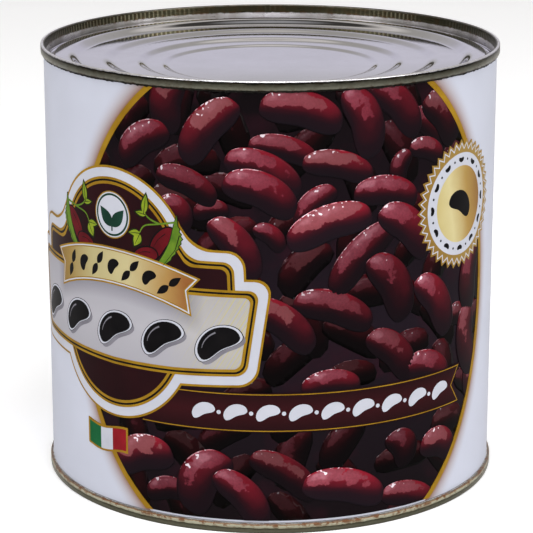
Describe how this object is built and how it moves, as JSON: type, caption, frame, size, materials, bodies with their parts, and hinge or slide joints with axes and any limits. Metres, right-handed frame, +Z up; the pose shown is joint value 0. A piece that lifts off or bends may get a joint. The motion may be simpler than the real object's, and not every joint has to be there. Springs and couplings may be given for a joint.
{
  "type": "canned beans",
  "caption": "Shut catering-size food can of red kidney beans: printed white wall with a large oval bean picture, double-seamed tinplate ends with stepped panels",
  "frame": {"origin": "middle of the base, on the plane that the lower seam stands on", "axes": "+Z up along the can's axis; -Y is the middle of the front, near the middle of the bean picture; +X is to the right seen from the front"},
  "size_m": [0.157, 0.157, 0.15],
  "materials": {
    "printed_wall": "glossy white lacquer with a printed picture",
    "tinplate": "bright tinplate, lightly scuffed, a few rust specks at the seams"
  },
  "bodies": {
    "root": {"can_body": "printed_wall", "top_end": "tinplate", "bottom_end": "tinplate"}
  },
  "joints": []
}
